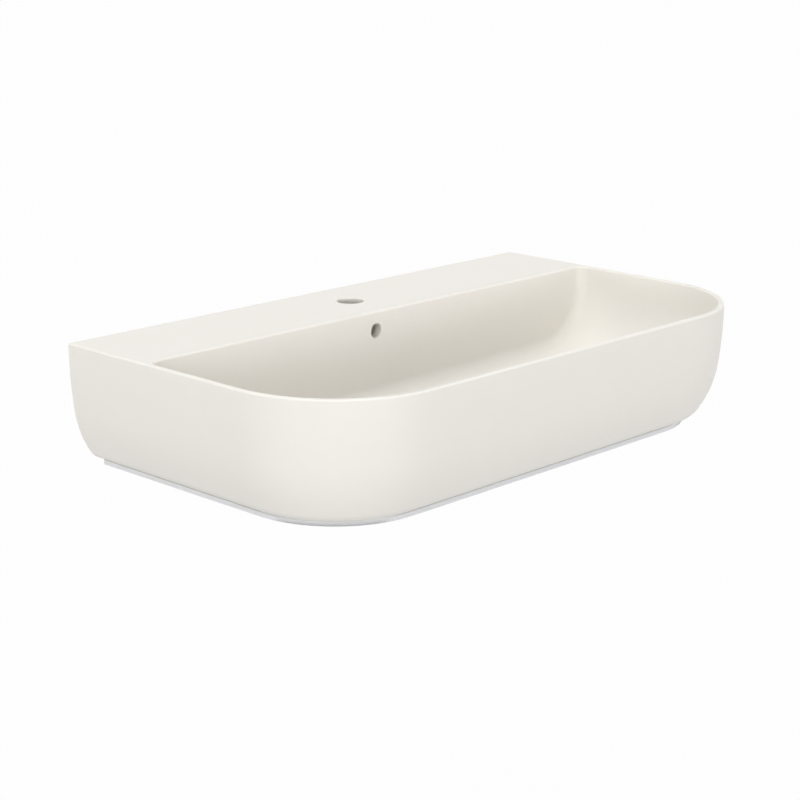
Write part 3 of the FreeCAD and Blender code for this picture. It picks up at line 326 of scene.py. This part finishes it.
@dataclass(frozen=True)
class Glaze(Finish):
    """Satin glaze over ceramic, with painted shade just above the foot, and the bare ground body on the
    foot and on the wall face.

    Attributes:
        ior: Index of refraction of the glaze.
        foot_top: Height where the bare foot begins.
        foot_edge: Height over which the glaze runs out.
        wander_scale: Lumps per metre along the glaze's wavy edge.
        wander_height: How far that edge wanders from end to end.
        heel_shade_height: Height above the foot over which a painted shade darkens the glaze towards the
            foot.
        heel_shade_share: How dark that painted shade is at the foot, as a share.
        crease_shade_height: Height of a thin dark line of painted shade in the crease where the glaze ends.
        crease_shade_and_speck_colour: Colour of that painted shade and of the heel's painted shade, and of
            the specks in the thin glaze inside the casting.
        wall_face: How far from the wall the bare back begins.
        bare_colour: Colour of the ground foot and of the bare back.
        bare_scale: Speckles of the bare body per metre.
        bare_depth: How far its colour varies, as a share.
        bare_roughness: How much rougher the foot is than the glaze.
        under_colour: Colour of the glaze inside the casting, where it is thin.
        speck_scale: Specks of that thin glaze per metre.
        speck_low: Noise value where a speck begins.
        speck_high: Noise value where it is full.
        speck_share: How dark a speck is.
    """

    ior: float = 1.42
    foot_top: float = -0.0908
    foot_edge: float = 0.0004
    wander_scale: float = 90.0
    wander_height: float = 0.0005
    # Painted shade that darkens the glaze towards the foot, where the heel turns under.
    heel_shade_height: float = 0.016
    heel_shade_share: float = 0.11
    # Painted shade: a thin dark line in the crease at the top of the foot; its colour also gives the specks
    # inside the casting.
    crease_shade_height: float = 0.0013
    crease_shade_and_speck_colour: Colour = (0.44, 0.43, 0.41)
    wall_face: float = 0.0006
    bare_colour: Colour = (0.745, 0.745, 0.755)
    bare_scale: float = 1400.0
    bare_depth: float = 0.06
    bare_roughness: float = 0.35
    under_colour: Colour = (0.76, 0.735, 0.69)
    speck_scale: float = 700.0
    speck_low: float = 0.66
    speck_high: float = 0.74
    speck_share: float = 0.35

    def foot_share(self, graph: Graph, height: bpy.types.NodeSocket) -> bpy.types.NodeSocket:
        """1 on the bare foot and 0 above it.

        Args:
            graph: The material's graph.
            height: The height that is read.

        Returns:
            The share.
        """
        return graph.ramp(height, self.foot_top, self.foot_top - self.foot_edge)

    def under_glaze(self, graph: Graph, place: bpy.types.NodeSocket) -> bpy.types.NodeSocket:
        """The thin, specked glaze inside the casting.

        Args:
            graph: The material's graph.
            place: Object coordinates.

        Returns:
            The colour's output.
        """
        grain = graph.noise(place, self.speck_scale, detail=1.0)
        specks = graph.ramp(grain, self.speck_low, self.speck_high)
        share = graph.math("MULTIPLY", specks, self.speck_share)
        return graph.blend(share, rgba(self.under_colour), rgba(self.crease_shade_and_speck_colour))

    def surface_colour(self, graph: Graph, place: bpy.types.NodeSocket) -> bpy.types.NodeSocket:
        """The glaze's colour down to the foot, with painted shade just above the foot and in the crease at
        its top, and the bare body below it and at the wall.

        Args:
            graph: The material's graph.
            place: Object coordinates.

        Returns:
            The colour's output.
        """
        # The colour of the painted shade above the foot and in its crease.
        painted_shade = rgba(self.crease_shade_and_speck_colour)
        parts = graph.add("ShaderNodeSeparateXYZ", Vector=place).outputs
        lumps = graph.noise(place, self.wander_scale)
        wander = graph.math("MULTIPLY_ADD", lumps, self.wander_height, -self.wander_height / 2)
        height = graph.math("ADD", parts["Z"], wander)
        inside = graph.add("ShaderNodeAttribute", {"attribute_name": UNDERSIDE}).outputs["Fac"]
        glazed = graph.blend(inside, super().surface_colour(graph, place), self.under_glaze(graph, place))
        # Painted shade: the glaze darkens over the height just above the foot, where the heel turns under.
        heel_shade = graph.ramp(height, self.foot_top + self.heel_shade_height, self.foot_top)
        glazed = graph.blend(graph.math("MULTIPLY", heel_shade, self.heel_shade_share), glazed, painted_shade)
        dark, light = varied(self.bare_colour, self.bare_depth)
        ground = graph.blend(graph.noise(place, self.bare_scale), rgba(dark), rgba(light))
        wall = graph.math("ADD", parts["Y"], wander)
        rear = graph.ramp(wall, -self.wall_face, -self.wall_face / 2)
        bare = graph.math("MAXIMUM", self.foot_share(graph, height), rear)
        # Painted shade: a thin dark line in the crease between the glazed heel and the bare foot.
        crease_band = graph.band(height, self.foot_top - self.crease_shade_height, self.foot_top, self.foot_edge)
        return graph.blend(crease_band, graph.blend(bare, glazed, ground), painted_shade)

    def finish_shader(self, graph: Graph, shader: bpy.types.Node, place: bpy.types.NodeSocket) -> None:
        """Gives the glaze a soft gloss that the bare foot doesn't have.

        Args:
            graph: The material's graph.
            shader: The surface shader.
            place: Object coordinates.
        """
        graph.feed(shader.inputs["IOR"], self.ior)
        height = graph.add("ShaderNodeSeparateXYZ", Vector=place).outputs["Z"]
        foot = self.foot_share(graph, height)
        glossy = shader.inputs["Roughness"].links[0].from_socket
        rough = graph.math("MULTIPLY_ADD", foot, self.bare_roughness, glossy, clamp=True)
        graph.feed(shader.inputs["Roughness"], rough)


@dataclass(frozen=True)
class Metal(Finish):
    """Bare or plated metal, with fine rings where it was turned on a lathe.

    Attributes:
        ring_scale: Tool marks per metre along the axis.
        ring_height: Height of the marks, in metres.
    """

    metallic: float = 1.0
    patch_depth: float = 0.02
    ring_scale: float = 900.0
    ring_height: float = 0.0

    def finish_shader(self, graph: Graph, shader: bpy.types.Node, place: bpy.types.NodeSocket) -> None:
        """Adds the marks of the lathe.

        Args:
            graph: The material's graph.
            shader: The surface shader.
            place: Object coordinates.
        """
        if not self.ring_height:
            return
        grain = shader.inputs["Normal"].links[0].from_socket
        height = graph.add("ShaderNodeSeparateXYZ", Vector=place).outputs["Z"]
        along = graph.add("ShaderNodeCombineXYZ", Z=height).outputs["Vector"]
        rings = graph.noise(along, self.ring_scale, detail=3.0)
        graph.feed(shader.inputs["Normal"], graph.bump(rings, self.ring_height, grain))


@dataclass(frozen=True)
class Moulded(Finish):
    """Plastic or rubber."""

    grain_scale: float = 2500.0


GLAZE = Glaze(
    "satin_glaze",
    (0.830, 0.805, 0.755),
    0.46,
    patch_scale=26.0,
    patch_depth=0.009,
    grain_height=0.00002,
)
CHROME = Metal("polished_chrome", (0.78, 0.79, 0.80), 0.07, grain_height=0.000002)
BRASS = Metal("turned_brass", (0.62, 0.46, 0.20), 0.30, ring_height=0.00004)
STEEL = Metal("drawn_steel", (0.52, 0.52, 0.53), 0.28)
ZINC = Metal("zinc_plate", (0.60, 0.60, 0.63), 0.38, patch_scale=400.0, patch_depth=0.08)
BLACK_RUBBER = Moulded("black_rubber", (0.022, 0.022, 0.024), 0.62, patch_depth=0.15)
GREY_RUBBER = Moulded("grey_rubber", (0.12, 0.12, 0.125), 0.58, patch_depth=0.10)
DARK_PLASTIC = Moulded("dark_plastic", (0.035, 0.037, 0.042), 0.42, patch_depth=0.10)
PALE_PLASTIC = Moulded("pale_plastic", (0.66, 0.65, 0.62), 0.45)


def link(mesh: bpy.types.Mesh, name: str) -> bpy.types.Object:
    """Puts a mesh in the scene as an object at the origin.

    Args:
        mesh: The mesh.
        name: The object's name.

    Returns:
        The object.
    """
    made = bpy.data.objects.new(name, mesh)
    bpy.context.scene.collection.objects.link(made)
    return made


def settle(source: bpy.types.Object, name: str) -> bpy.types.Mesh:
    """The object's evaluated shape as a plain mesh.

    Args:
        source: An object with modifiers.
        name: The mesh's name.

    Returns:
        The mesh.
    """
    graph = bpy.context.evaluated_depsgraph_get()
    mesh = bpy.data.meshes.new_from_object(source.evaluated_get(graph), depsgraph=graph)
    mesh.name = name
    return mesh


def shade(mesh: bpy.types.Mesh, crease: float) -> None:
    """Shades round faces smoothly.

    Args:
        mesh: The mesh.
        crease: Angle above which an edge stays sharp, in degrees.
    """
    mesh.shade_smooth()
    mesh.set_sharp_from_angle(angle=math.radians(crease))


def closed(mesh: bpy.types.Mesh, crease: float) -> None:
    """Merges doubles, points every face outwards and shades round faces smoothly.

    Args:
        mesh: The mesh.
        crease: Angle above which an edge stays sharp, in degrees.
    """
    work = bmesh.new()
    work.from_mesh(mesh)
    bmesh.ops.remove_doubles(work, verts=work.verts, dist=WELD)
    bmesh.ops.recalc_face_normals(work, faces=work.faces)
    work.to_mesh(mesh)
    work.free()
    shade(mesh, crease)


@dataclass(frozen=True)
class HelicalThread:
    """A screw thread's ridge, wound by Geometry Nodes round a vertical axis.

    The profile is centred on the root radius, so its outer half is the ridge and its inner
    half, which is as deep and gets wider inwards, stays inside the part.

    Attributes:
        name: The piece's name.
        centre: Where the axis stands.
        low: Height of its lower end.
        high: Height of its upper end.
        root: Radius at the foot of the ridge.
        crest: Radius at its top.
        pitch: Rise for each turn.
        foot_width: The ridge's width at its foot, as a share of the pitch.
        top_width: The ridge's width at its top, as a share of the pitch.
        segments: Steps for each turn.
        run_out: Turns over which each end fades.
        least: The ridge's size at its very end, as a share.
    """

    name: str
    centre: tuple[float, float]
    low: float
    high: float
    root: float
    crest: float
    pitch: float
    foot_width: float = 0.86
    top_width: float = 0.22
    segments: int = 56
    run_out: float = 0.6
    least: float = 0.02

    def sizes(self, finish: Finish) -> dict[str, tuple[str, object]]:
        """The tree's named inputs, each with its kind and value.

        Args:
            finish: The ridge's finish.

        Returns:
            Kind and value by input name.
        """
        foot = self.foot_width * self.pitch
        top = self.top_width * self.pitch
        turns = (self.high - self.low - foot) / self.pitch
        return {
            "Root Radius": ("Float", self.root),
            "Height": ("Float", turns * self.pitch),
            "Turns": ("Float", turns),
            "Segments": ("Int", self.segments),
            "Profile Depth": ("Float", (self.crest - self.root) * 2),
            "Profile Foot": ("Float", foot * 2 - top),
            "Profile Top": ("Float", top),
            "Run Out": ("Float", self.run_out / turns),
            "Place": ("Vector", (*self.centre, self.low + foot / 2)),
            "Finish": ("Material", finish.material()),
        }

    def tree(self, sizes: dict[str, tuple[str, object]]) -> bpy.types.NodeTree:
        """Builds the node tree.

        Args:
            sizes: The named inputs.

        Returns:
            The tree.
        """
        tree = bpy.data.node_groups.new(self.name + "_nodes", "GeometryNodeTree")
        for name, (kind, _) in sizes.items():
            tree.interface.new_socket(name, in_out="INPUT", socket_type="NodeSocket" + kind)
        tree.interface.new_socket("Geometry", in_out="OUTPUT", socket_type="NodeSocketGeometry")
        graph = Graph(tree)
        given = graph.add("NodeGroupInput").outputs
        spiral = graph.add(
            "GeometryNodeCurveSpiral",
            Resolution=given["Segments"],
            Rotations=given["Turns"],
            Start_Radius=given["Root Radius"],
            End_Radius=given["Root Radius"],
            Height=given["Height"],
            Reverse=True,
        )
        level = graph.add("GeometryNodeSetCurveNormal", {"mode": "Z_UP"}, Curve=spiral.outputs["Curve"])
        along = graph.add("GeometryNodeSplineParameter").outputs["Factor"]
        start = graph.math("DIVIDE", along, given["Run Out"], clamp=True)
        end = graph.math("DIVIDE", graph.math("SUBTRACT", 1.0, along), given["Run Out"], clamp=True)
        share = graph.math("MAXIMUM", graph.math("MINIMUM", start, end), self.least)
        profile = graph.add(
            "GeometryNodeCurvePrimitiveQuadrilateral",
            {"mode": "TRAPEZOID"},
            Height=given["Profile Depth"],
            Bottom_Width=given["Profile Foot"],
            Top_Width=given["Profile Top"],
            Offset=0.0,
        )
        outwards = graph.add(
            "GeometryNodeTransform",
            Geometry=profile.outputs["Curve"],
            Rotation=(0.0, 0.0, -math.pi / 2),
        )
        ridge = graph.add(
            "GeometryNodeCurveToMesh",
            Curve=level.outputs["Curve"],
            Profile_Curve=outwards.outputs["Geometry"],
            Scale=share,
            Fill_Caps=True,
        )
        placed = graph.add(
            "GeometryNodeTransform",
            Geometry=ridge.outputs["Mesh"],
            Translation=given["Place"],
        )
        real = graph.add("GeometryNodeRealizeInstances", Geometry=placed.outputs["Geometry"])
        done = graph.add(
            "GeometryNodeSetMaterial",
            Geometry=real.outputs["Geometry"],
            Material=given["Finish"],
        )
        output = graph.add("NodeGroupOutput")
        graph.feed(output.inputs["Geometry"], done.outputs["Geometry"])
        return tree

    def wind(self, finish: Finish) -> bpy.types.Object:
        """Winds the ridge and turns it into a plain mesh.

        Args:
            finish: The ridge's finish.

        Returns:
            The piece.
        """
        sizes = self.sizes(finish)
        tree = self.tree(sizes)
        source = link(bpy.data.meshes.new(self.name + "_source"), self.name + "_source")
        nodes = source.modifiers.new("wind", "NODES")
        nodes.node_group = tree
        for item in tree.interface.items_tree:
            if item.in_out == "INPUT":
                nodes[item.identifier] = sizes[item.name][1]
        mesh = settle(source, self.name)
        source.modifiers.remove(nodes)
        bpy.data.objects.remove(source)
        closed(mesh, THREAD_CREASE)
        return link(mesh, self.name)


TAIL_THREAD = HelicalThread(
    "waste_tail_thread",
    OUTLET,
    low=-0.14279,
    high=-0.11479,
    root=0.01995,
    crest=0.02094,
    pitch=0.002309,
)
CARTRIDGE_THREAD = HelicalThread(
    "cartridge_thread",
    OUTLET,
    low=-0.09779,
    high=-0.0838,
    root=0.0046,
    crest=0.00499,
    pitch=0.001,
    segments=32,
)


@dataclass
class Assembly:
    """A group of pieces that are dressed together.

    Attributes:
        body: The moving group that carries the pieces.
        crease: Angle above which an edge stays sharp, in degrees.
        threads: The screw threads of a solid, by its name.
    """

    body: str
    crease: float = 28.0
    threads: dict[str, HelicalThread] = field(default_factory=dict)

    def smooth_copy(self, node: str) -> bpy.types.Object:
        """A welded copy of a solid's mesh whose curved faces shade smoothly.

        Args:
            node: The solid's name.

        Returns:
            The copy, in place of the solid.
        """
        mesh = bpy.data.objects[node].data.copy()
        mesh.materials.clear()
        work = bmesh.new()
        work.from_mesh(mesh)
        bmesh.ops.remove_doubles(work, verts=work.verts, dist=WELD)
        if node in self.threads:
            self.draw_in(work, self.threads[node])
        work.to_mesh(mesh)
        work.free()
        shade(mesh, self.crease)
        rough = link(mesh, node + "_rough")
        weigh = rough.modifiers.new("weigh", "WEIGHTED_NORMAL")
        weigh.keep_sharp = True
        weigh.mode = "FACE_AREA_WITH_ANGLE"
        done = link(settle(rough, node + "_smooth"), node + "_surface")
        bpy.data.objects.remove(rough)
        return done

    def draw_in(self, work: bmesh.types.BMesh, thread: HelicalThread) -> None:
        """Brings a plain threaded end down to the foot of its thread.

        Args:
            work: The copy of the solid's mesh.
            thread: The thread that will stand on it.
        """
        middle = Vector(thread.centre)
        for corner in work.verts:
            spoke = corner.co.xy - middle
            on_thread = abs(spoke.length - thread.crest) < thread.crest - thread.root
            if on_thread and thread.low - WELD < corner.co.z < thread.high + WELD:
                corner.co.xy = middle + spoke.normalized() * min(spoke.length, thread.root)

    def carry(self, piece: bpy.types.Object) -> None:
        """Makes a piece move with the assembly's body.

        Args:
            piece: The piece.
        """
        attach(piece, self.body)

    def place(self, piece: bpy.types.Object, finish: Finish, *nodes: str) -> bpy.types.Object:
        """Gives a piece its finish and its body, in place of the solids it stands for.

        Args:
            piece: The piece.
            finish: Its finish.
            *nodes: The solids it stands for.

        Returns:
            The piece.
        """
        piece.data.materials.clear()
        piece.data.materials.append(finish.material())
        self.carry(piece)
        if nodes:
            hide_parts(*nodes)
        log.info("%s: %d faces, %s", piece.name, len(piece.data.polygons), finish.name)
        return piece

    def dress_solids(self, finishes: dict[str, Finish]) -> None:
        """Puts a smooth copy with its finish in place of each solid.

        Args:
            finishes: A finish for each solid's name.
        """
        for node, finish in finishes.items():
            self.place(self.smooth_copy(node), finish, node)
            if node in self.threads:
                self.place(self.threads[node].wind(finish), finish)


@dataclass
class Ceramic(Assembly):
    """The glazed casting.

    Attributes:
        middle: How far the basin's middle is from the wall.
        lift: How far off a face its test rays start.
        under_top: Height of the deck's underside.
    """

    body: str = "basin"
    middle: float = 0.225
    lift: float = 0.0002
    under_top: float = 0.0461

    def mark_underside(self, piece: bpy.types.Object) -> None:
        """Marks the faces inside the casting: open to below, shut in sideways.

        Args:
            piece: The casting.
        """
        mesh = piece.data
        corners = [vertex.co for vertex in mesh.vertices]
        tree = BVHTree.FromPolygons(corners, [tuple(face.vertices) for face in mesh.polygons])
        marks = mesh.attributes.new(UNDERSIDE, "FLOAT", "FACE")
        for face in mesh.polygons:
            start = face.center + face.normal * self.lift
            outwards = Vector((face.center.x, face.center.y + self.middle, 0.0))
            open_below = tree.ray_cast(start, Vector((0.0, 0.0, -1.0)))[0] is None
            shut_in = tree.ray_cast(start, outwards)[0] is not None
            under_deck = face.center.z < self.under_top
            marks.data[face.index].value = float(open_below and shut_in and under_deck)

    def build(self) -> None:
        """Builds and dresses the casting."""
        casting = self.smooth_copy("basin_body")
        self.mark_underside(casting)
        self.place(casting, GLAZE, "basin_body")


@dataclass
class Waste(Assembly):
    """The waste, its rings and the nut that clamps it."""

    body: str = "basin"
    threads: dict[str, HelicalThread] = field(
        default_factory=lambda: {"waste_body": TAIL_THREAD}
    )

    def build(self) -> None:
        """Builds and dresses the waste."""
        self.dress_solids(
            {
                "waste_body": CHROME,
                "flange_gasket": BLACK_RUBBER,
                "lower_seal": GREY_RUBBER,
                "friction_washer": PALE_PLASTIC,
                "back_nut": BRASS,
            }
        )


@dataclass
class Cartridge(Assembly):
    """The fixed parts of the click mechanism."""

    body: str = "basin"
    threads: dict[str, HelicalThread] = field(
        default_factory=lambda: {"cartridge_sleeve": CARTRIDGE_THREAD}
    )

    def build(self) -> None:
        """Builds and dresses the mechanism."""
        self.dress_solids(
            {
                "cartridge_sleeve": BRASS,
                "cartridge_locknut": BRASS,
                "guide_collar": PALE_PLASTIC,
                "pin_wiper": BLACK_RUBBER,
                "spring_seat": STEEL,
            }
        )


@dataclass
class Spring(Assembly):
    """The spring, which stays still when the plug rises.

    Attributes:
        node: The solid's name.
        lifted: The body that its upper end would follow; not used.
    """

    body: str = "basin"
    node: str = "cartridge_spring"
    lifted: str = "plug"

    def carry(self, piece: bpy.types.Object) -> None:
        """Bakes its place into its mesh and puts it on no body, so it stays still.

        Args:
            piece: The spring.
        """
        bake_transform(piece)

    def build(self) -> None:
        """Builds and dresses the spring."""
        self.dress_solids({self.node: STEEL})


@dataclass
class Ratchet(Assembly):
    """The ring that turns a tooth with each press."""

    body: str = "ratchet"

    def build(self) -> None:
        """Builds and dresses the ring."""
        self.dress_solids({"ratchet_ring": DARK_PLASTIC})


@dataclass
class Plug(Assembly):
    """The pieces that rise and fall with the plug."""

    body: str = "plug"

    def build(self) -> None:
        """Builds and dresses the plug."""
        self.dress_solids(
            {
                "plug_cap": CHROME,
                "plug_core": DARK_PLASTIC,
                "plug_seal": BLACK_RUBBER,
                "plug_pin": BRASS,
                "height_locknut": BRASS,
            }
        )


@dataclass
class Fixings(Assembly):
    """Bushes, washers and nuts at the wall."""

    body: str = "basin"

    def build(self) -> None:
        """Builds and dresses the fixings."""
        self.dress_solids({"fixing_bushes": PALE_PLASTIC, "fixing_washers": ZINC, "fixing_nuts": ZINC})


@dataclass(frozen=True)
class Lamp:
    """A round soft lamp.

    Attributes:
        place: Where it stands.
        width: Its diameter.
        power: Its power, in watts.
    """

    place: Place
    width: float
    power: float


@dataclass
class Studio:
    """The floor, the light and the camera.

    Attributes:
        floor_height: Height of the floor.
        floor_reach: Half the floor's width.
        floor_colour: Its colour, linear.
        floor_white: Share of plain white in what the camera sees of it.
        camera_place: Where the photograph was taken from.
        yaw: Its direction from +Y towards +X, degrees.
        pitch: How far it looks down, degrees.
        roll: Its turn about the view, degrees.
        lens: Focal length in millimetres.
        sensor: Width of the sensor in millimetres.
        shift: How far the picture's middle is off the view's, as a share of its width.
        far_end: Distance past which the camera sees nothing.
        sky: Height of a direction, as its sine, and the light's strength from there.
        aim: What the lamps point at.
        lamps: The lamps.
    """

    floor_height: float = -0.79
    floor_reach: float = 60.0
    floor_colour: Colour = (0.60, 0.60, 0.60)
    floor_white: float = 0.97
    camera_place: Place = (-1.7424, -1.8305, 0.6057)
    yaw: float = 46.245
    pitch: float = 15.364
    roll: float = -0.262
    lens: float = 87.59
    sensor: float = 36.0
    shift: float = 0.000625
    far_end: float = 100.0
    sky: tuple[tuple[float, float], ...] = (
        (0.0, 1.88),
        (0.15, 1.88),
        (0.21, 0.28),
        (0.82, 0.28),
        (0.90, 2.50),
        (1.0, 2.50),
    )
    aim: Place = (0.0, -0.225, 0.0)
    lamps: tuple[Lamp, ...] = (
        Lamp((-2.56, -9.77, 1.39), 4.0, 190.0),
        Lamp((-8.68, -2.53, 4.38), 5.5, 228.0),
    )

    def white_share(self, graph: Graph) -> bpy.types.NodeSocket:
        """1 for the kinds of ray that see plain white, 0 for the others.

        Args:
            graph: The graph it goes into.

        Returns:
            The share.
        """
        path = graph.add("ShaderNodeLightPath").outputs
        share = 0.0
        for kind in Lit:
            share = graph.math("MAXIMUM", share, path[kind.value])
        return share

    def finish_backdrop(
        self,
        graph: Graph,
        share: bpy.types.NodeSocket,
        usual: bpy.types.Node,
        white: bpy.types.Node,
        output: str,
    ) -> None:
        """Ends a backdrop's graph in a mix of its usual shader and plain white.

        Args:
            graph: The backdrop's graph.
            share: How much of the white one.
            usual: The shader that lights the object.
            white: The plain white one.
            output: The output node's type name.
        """
        mix = graph.add("ShaderNodeMixShader")
        for socket, value in zip(mix.inputs, (share, usual.outputs[0], white.outputs[0])):
            graph.feed(socket, value)
        graph.add(output, Surface=mix.outputs["Shader"])

    def build_world(self) -> None:
        """Light from a band over the horizon and from straight above, behind a white background."""
        world = bpy.data.worlds.new("studio")
        world.use_nodes = True
        bpy.context.scene.world = world
        graph = Graph(world.node_tree)
        place = graph.add("ShaderNodeTexCoord").outputs["Generated"]
        height = graph.add("ShaderNodeSeparateXYZ", Vector=place).outputs["Z"]
        ramp = graph.add("ShaderNodeValToRGB", Fac=height)
        stops = ramp.color_ramp.elements
        while len(stops) < len(self.sky):
            stops.new(self.sky[len(stops)][0])
        for stop, (position, strength) in zip(stops, self.sky):
            stop.position = position
            stop.color = rgba((strength, strength, strength))
        sky = graph.add("ShaderNodeBackground", Color=ramp.outputs["Color"], Strength=1.0)
        white = graph.add("ShaderNodeBackground", Color=rgba(WHITE), Strength=1.0)
        self.finish_backdrop(graph, self.white_share(graph), sky, white, "ShaderNodeOutputWorld")

    def build_floor(self) -> None:
        """A plain pale floor that keeps a soft shadow."""
        material = bpy.data.materials.new("pale_floor")
        material.use_nodes = True
        graph = Graph(material.node_tree)
        matt = graph.add("ShaderNodeBsdfDiffuse", Color=rgba(self.floor_colour))
        white = graph.add("ShaderNodeEmission", Color=rgba(WHITE), Strength=1.0)
        share = graph.math("MULTIPLY", self.white_share(graph), self.floor_white)
        self.finish_backdrop(graph, share, matt, white, "ShaderNodeOutputMaterial")
        far, low = self.floor_reach, self.floor_height
        mesh = bpy.data.meshes.new("floor")
        corners = [(-far, -far, low), (far, -far, low), (far, far, low), (-far, far, low)]
        mesh.from_pydata(corners, [], [(0, 1, 2, 3)])
        mesh.materials.append(material)
        link(mesh, "floor")

    def build_lamps(self) -> None:
        """Large soft lamps that point at the basin."""
        for number, lamp in enumerate(self.lamps):
            data = bpy.data.lights.new(f"lamp_{number}", "AREA")
            data.shape = "DISK"
            data.size = lamp.width
            data.energy = lamp.power
            made = bpy.data.objects.new(data.name, data)
            made.location = lamp.place
            ray = Vector(self.aim) - Vector(lamp.place)
            made.rotation_euler = ray.to_track_quat("-Z", "Y").to_euler()
            bpy.context.scene.collection.objects.link(made)

    def build_camera(self) -> None:
        """The camera at the photograph's angle."""
        yaw, pitch, roll = (math.radians(angle) for angle in (self.yaw, self.pitch, self.roll))
        level = Vector((math.cos(yaw), -math.sin(yaw), 0.0))
        forward = Vector((math.sin(yaw), math.cos(yaw), 0.0))
        ahead = forward * math.cos(pitch) - Vector((0.0, 0.0, math.sin(pitch)))
        down = ahead.cross(level)
        across = level * math.cos(roll) + down * math.sin(roll)
        under = down * math.cos(roll) - level * math.sin(roll)
        turn = Matrix((across, -under, -ahead)).transposed()
        data = bpy.data.cameras.new("photo_camera")
        data.sensor_width = self.sensor
        data.lens = self.lens
        data.shift_x = -self.shift
        data.shift_y = self.shift
        data.clip_end = self.far_end
        camera = bpy.data.objects.new("photo_camera", data)
        camera.matrix_world = Matrix.Translation(self.camera_place) @ turn.to_4x4()
        bpy.context.scene.collection.objects.link(camera)
        bpy.context.scene.camera = camera

    def build(self) -> None:
        """Builds the whole studio."""
        self.build_world()
        self.build_floor()
        self.build_lamps()
        self.build_camera()
        bpy.context.scene.view_settings.view_transform = "Standard"


def main() -> None:
    """Builds the dressed basin."""
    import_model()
    for assembly in (Ceramic(), Waste(), Cartridge(), Spring(), Ratchet(), Plug(), Fixings()):
        assembly.build()
    Studio().build()


if __name__ == "__main__":
    logging.basicConfig(level=logging.INFO, stream=sys.stdout, format="%(message)s")
    main()
